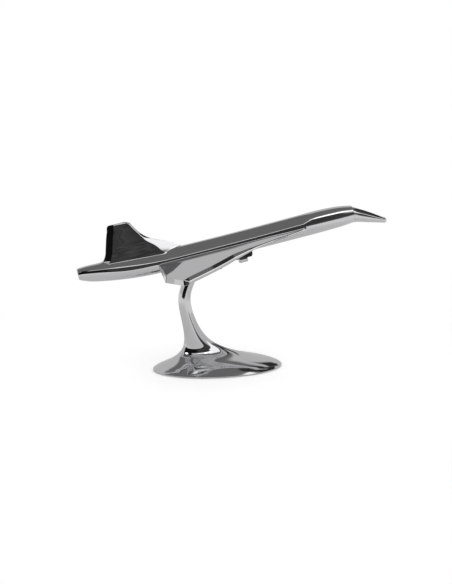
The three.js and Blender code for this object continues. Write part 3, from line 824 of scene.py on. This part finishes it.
for side, sign in (("port", 1), ("starboard", -1)):
    wing = on_side(wing_shape(), sign)
    add_casting(f"{side}_wing_casting", f"{side}_wing", wing, AIRCRAFT, weighted=True)
    inner, outer = on_side(cell_shape(**INNER_CELL), sign), on_side(cell_shape(**OUTER_CELL), sign)
    nacelle = mesh_object(f"{side}_nacelle_casting", inner, AIRCRAFT)
    combine(nacelle, [mesh_object("outer_cell", outer, AIRCRAFT)], "UNION")
    spots = [(station, sign * span, INNER_CELL["floor"]) for station, span in NACELLE_SCREW_SPOTS]
    holes = [hole(SHORT_SCREW, (x, y, z + NACELLE_SCREW_SINK)) for x, y, z in spots]
    combine(nacelle, holes, "DIFFERENCE")
    soften = nacelle.modifiers.new("soften", "BEVEL")
    soften.width = NACELLE_SOFTENING * MM
    soften.segments = 4
    soften.angle_limit = math.radians(30)
    settle(nacelle)
    hand_over(shade(nacelle, 40, weighted=True), f"{side}_nacelle", ALUMINIUM)
    for name, seat in BARREL_SEATS.items():
        lying = Matrix.Translation((seat["station"], sign * seat["span"], seat["height"]))
        place = AIRCRAFT @ lying @ Matrix.Rotation(math.pi / 2, 4, "Y")
        add_casting(f"{side}_{name}_barrel_casting", f"{side}_{name}_engine_barrel",
                    barrel_shape(seat["radius"], seat["length"]), place)
    for i, (station, span) in enumerate(WING_SCREW_SPOTS):
        add_screw(f"{side}_wing_screw_{i + 1}", SMALL_SCREW, (station, sign * span, WING_SCREW_HEIGHT))
    for i, spot in enumerate(spots):
        add_screw(f"{side}_nacelle_screw_{i + 1}", SHORT_SCREW, spot)

stand = mesh_object("stem_and_foot_casting", stand_shape(), WORLD)
combine(stand, [mesh_object("belly", fuselage_shape(), AIRCRAFT)], "DIFFERENCE")
hand_over(shade(stand, 40), "stem_and_foot", ALUMINIUM)

pad_low, pad_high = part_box("felt_pad")
pad_half = (pad_high - pad_low) / 2 / MM


def pad_ring(height, draw):
    long, short = pad_half.x - draw, pad_half.y - draw
    turns = np.linspace(0, 2 * math.pi, PAD_SIDES, endpoint=False)
    return [(long * math.cos(a), short * math.sin(a), height) for a in turns]


pad_thick = 2 * pad_half.z
pad_rings = [pad_ring(height, draw) for height, draw in PAD_EDGE]
pad_rings += [pad_ring(pad_thick - depth, draw) for depth, draw in PAD_EDGE[::-1]]
pad = mesh_object("felt_pad_fine", loft(pad_rings), WORLD)
hand_over(shade(pad, 50), "felt_pad", FELT)

# The plain fasteners and the foot's plate keep their CAD shapes and get a finish.
for node in KEPT_AS_CAD:
    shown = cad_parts[node]
    shown.data.materials.clear()
    shown.data.materials.append(STEEL)

# ---------------------------------------------------------------- studio

# Angles in degrees, distance and target in metres, lens in millimetres.
CAMERA = {
    "azimuth": -10.0,
    "elevation": 14.0,
    "distance": 0.85,
    "target": (0.0071, 0.0, 0.0668),
    "lens": 61.64,
}


def direction(azimuth, elevation):
    """Azimuth 0 is the side that a camera looking along +Y stands on; elevation is above the horizon."""
    a, e = math.radians(azimuth), math.radians(elevation)
    return Vector((math.sin(a) * math.cos(e), -math.cos(a) * math.cos(e), math.sin(e)))


def add_camera():
    data = bpy.data.cameras.new("camera")
    data.lens = CAMERA["lens"]
    data.sensor_width = 36.0
    data.clip_start = 0.05
    data.clip_end = 50.0
    camera = bpy.data.objects.new("camera", data)
    back = direction(CAMERA["azimuth"], CAMERA["elevation"])
    camera.location = Vector(CAMERA["target"]) + back * CAMERA["distance"]
    camera.rotation_mode = "QUATERNION"
    camera.rotation_quaternion = (-back).to_track_quat("-Z", "Y")
    bpy.context.scene.collection.objects.link(camera)
    bpy.context.scene.camera = camera


DEGREES = 180 / math.pi
FLOOR_RADIUS = 6.0               # in metres
FLOOR_SIDES = 96
TABLE_FRONT = 0.30               # the pale sheet's front edge, from the middle of the foot
TABLE_FRONT_SOFT = 0.01
TABLE_MATT = (0.16, 0.28)        # the sheet fades from matt to evenly lit between these distances
TABLE_LEVEL = 0.76               # how pale it is in reflections
TABLE_SEEN = 0.9                 # and where the camera sees it
TABLE_GRAIN = 0.02
TABLE_LIFT = 0.34                # light added where the camera sees the sheet
SWEEP_LEVEL = 0.56
SWEEP_TOP = 54.0
SWEEP_SOFT = 3.0
CEILING_LEVEL = 0.16
SKY_LIGHT = 0.8                  # what lights matt surfaces, from all round
ROOM_CLOUDS = (0.016, 0.10)      # darkest and lightest of the room right of the camera
ROOM_SHADE = 0.0065              # and left of it
ROOM_TURN = (-4.0, 8.0)          # the one turns into the other between these azimuths
ROOM_SIDES = (-62.0, 50.0)       # azimuths between which the room behind the camera is dark
ROOM_SIDES_SOFT = 4.0
ROOM_TOP = (56.0, 60.0)          # its dark ends between these heights, in degrees
PANEL_SIDES_SOFT = 3.0
PANEL_ENDS_SOFT = 1.5
# Panels of the studio, bright or dark, painted over it in turn.
PANELS = [
    {"sides": (-18.0, 2.0), "low": 43.0, "high": 56.0, "level": 0.6},
    {"sides": (0.0, 38.0), "low": 43.0, "high": 56.0, "level": 1.04},
    {"sides": (33.0, 82.0), "low": 24.0, "high": 62.0, "level": 1.2},
    {"sides": (86.0, 134.0), "low": 36.0, "high": 70.0, "level": 0.03},
    {"sides": (134.0, 156.0), "low": 27.0, "high": 46.0, "level": 0.03},
]
LAMPS = [
    {"azimuth": -42.0, "height": 44.0, "size": 7.0},
    {"azimuth": 26.0, "height": 50.0, "size": 7.0},
]
LAMP_LEVEL = 2.0
LAMP_SOFT = 0.002                # softness of its rim, as a cosine


def facing_and_aside(nodes, way):
    """How far a place or direction lies towards the studio's front, and to its right; and its height."""
    parts = nodes.add("ShaderNodeSeparateXYZ", Vector=way).outputs
    front = direction(CAMERA["azimuth"], 0)

    def along(x, y):
        return nodes.math("ADD", nodes.math("MULTIPLY", parts[0], x), nodes.math("MULTIPLY", parts[1], y))

    return along(front.x, front.y), along(-front.y, front.x), parts[2]


def room_level(nodes, way, azimuth):
    """The dark room behind the camera: near-black to the left, cloudy grey to the right."""
    darkest, lightest = ROOM_CLOUDS
    cloud = nodes.noise(way, scale=32.0, detail=3.0)
    clouds = nodes.ramp(cloud, low=0.35, high=0.7, start=darkest, end=lightest)
    return nodes.painted(ROOM_SHADE, nodes.ramp(azimuth, *ROOM_TURN), clouds)


def add_floor():
    """A pale sheet, matt under the mascot and plain white further off. Past its front edge, where only
    reflections look, the room is dark."""
    mesh = bpy.data.meshes.new("floor")
    turns = np.linspace(0, 2 * math.pi, FLOOR_SIDES, endpoint=False)
    rim = [(FLOOR_RADIUS * math.cos(a), FLOOR_RADIUS * math.sin(a), 0) for a in turns]
    mesh.from_pydata(rim, [], [tuple(range(FLOOR_SIDES))])
    floor = bpy.data.objects.new("floor", mesh)
    bpy.context.scene.collection.objects.link(floor)
    material = bpy.data.materials.new("pale_floor")
    material.use_nodes = True
    nodes = Nodes(material.node_tree)
    place = nodes.add("ShaderNodeTexCoord").outputs["Object"]
    facing, aside, _ = facing_and_aside(nodes, place)
    squares = [nodes.math("POWER", part, 2.0) for part in (facing, aside)]
    away = nodes.math("SQRT", nodes.math("ADD", *squares))
    in_view = nodes.add("ShaderNodeLightPath").outputs["Is Camera Ray"]
    grain = nodes.math("MULTIPLY", nodes.noise(place, scale=900.0), TABLE_GRAIN)
    pale = nodes.math("ADD", nodes.painted(TABLE_LEVEL, in_view, TABLE_SEEN), grain)
    grey = nodes.add("ShaderNodeCombineColor", Red=pale, Green=pale, Blue=pale)
    matt = nodes.add("ShaderNodeBsdfDiffuse", Color=grey.outputs[0])
    lift = nodes.add("ShaderNodeEmission", Strength=nodes.math("MULTIPLY", in_view, TABLE_LIFT))
    sheet = nodes.add("ShaderNodeAddShader")
    nodes.feed(sheet.inputs[0], matt.outputs[0])
    nodes.feed(sheet.inputs[1], lift.outputs[0])
    way = nodes.add("ShaderNodeVectorMath", {"operation": "NORMALIZE"})
    nodes.feed(way.inputs[0], place)
    azimuth = nodes.math("MULTIPLY", nodes.math("ARCTAN2", aside, facing), DEGREES)
    past = nodes.ramp(facing, TABLE_FRONT - TABLE_FRONT_SOFT, TABLE_FRONT + TABLE_FRONT_SOFT)
    beyond = nodes.math("MULTIPLY", past, nodes.band(azimuth, *ROOM_SIDES, ROOM_SIDES_SOFT))
    level = nodes.painted(TABLE_LEVEL, beyond, room_level(nodes, way.outputs[0], azimuth))
    level = nodes.painted(level, in_view, 1.0)
    glow = nodes.add("ShaderNodeEmission", Strength=level)
    blend = nodes.add("ShaderNodeMixShader", Fac=nodes.ramp(away, *TABLE_MATT))
    nodes.feed(blend.inputs[1], sheet.outputs[0])
    nodes.feed(blend.inputs[2], glow.outputs[0])
    nodes.add("ShaderNodeOutputMaterial", Surface=blend.outputs[0])
    mesh.materials.append(material)


def add_surroundings():
    """The studio, by direction: a pale sweep behind and at the sides, a dark room behind the camera with
    a long softbox and two lamps over it, a bright panel and two dark ones to its right, a dim ceiling."""
    world = bpy.data.worlds.new("studio")
    bpy.context.scene.world = world
    world.use_nodes = True
    nodes = Nodes(world.node_tree)
    way = nodes.add("ShaderNodeTexCoord").outputs["Generated"]
    facing, aside, up = facing_and_aside(nodes, way)
    height = nodes.math("MULTIPLY", nodes.math("ARCSINE", up), DEGREES)
    azimuth = nodes.math("MULTIPLY", nodes.math("ARCTAN2", aside, facing), DEGREES)
    above = nodes.ramp(height, SWEEP_TOP - SWEEP_SOFT, SWEEP_TOP + SWEEP_SOFT)
    level = nodes.painted(SWEEP_LEVEL, above, CEILING_LEVEL)
    below = nodes.ramp(height, *ROOM_TOP, start=1.0, end=0.0)
    room = nodes.math("MULTIPLY", nodes.band(azimuth, *ROOM_SIDES, ROOM_SIDES_SOFT), below)
    level = nodes.painted(level, room, room_level(nodes, way, azimuth))
    for panel in PANELS:
        across = nodes.band(azimuth, *panel["sides"], PANEL_SIDES_SOFT)
        upright = nodes.band(height, panel["low"], panel["high"], PANEL_ENDS_SOFT)
        level = nodes.painted(level, nodes.math("MULTIPLY", across, upright), panel["level"])
    for lamp in LAMPS:
        towards = direction(CAMERA["azimuth"] + lamp["azimuth"], lamp["height"])
        nearness = nodes.add("ShaderNodeVectorMath", {"operation": "DOT_PRODUCT"})
        nodes.feed(nearness.inputs[0], way)
        nearness.inputs[1].default_value = towards
        rim = math.cos(math.radians(lamp["size"]))
        disc = nodes.ramp(nearness.outputs["Value"], rim - LAMP_SOFT, rim + LAMP_SOFT)
        level = nodes.painted(level, disc, LAMP_LEVEL)
    path = nodes.add("ShaderNodeLightPath").outputs
    level = nodes.painted(level, path["Is Diffuse Ray"], SKY_LIGHT)
    level = nodes.painted(level, path["Is Camera Ray"], 1.0)
    glow = nodes.add("ShaderNodeBackground", Color=(1, 1, 1, 1), Strength=level)
    nodes.add("ShaderNodeOutputWorld", Surface=glow.outputs[0])


add_camera()
add_floor()
add_surroundings()
bpy.context.scene.view_settings.view_transform = "Standard"
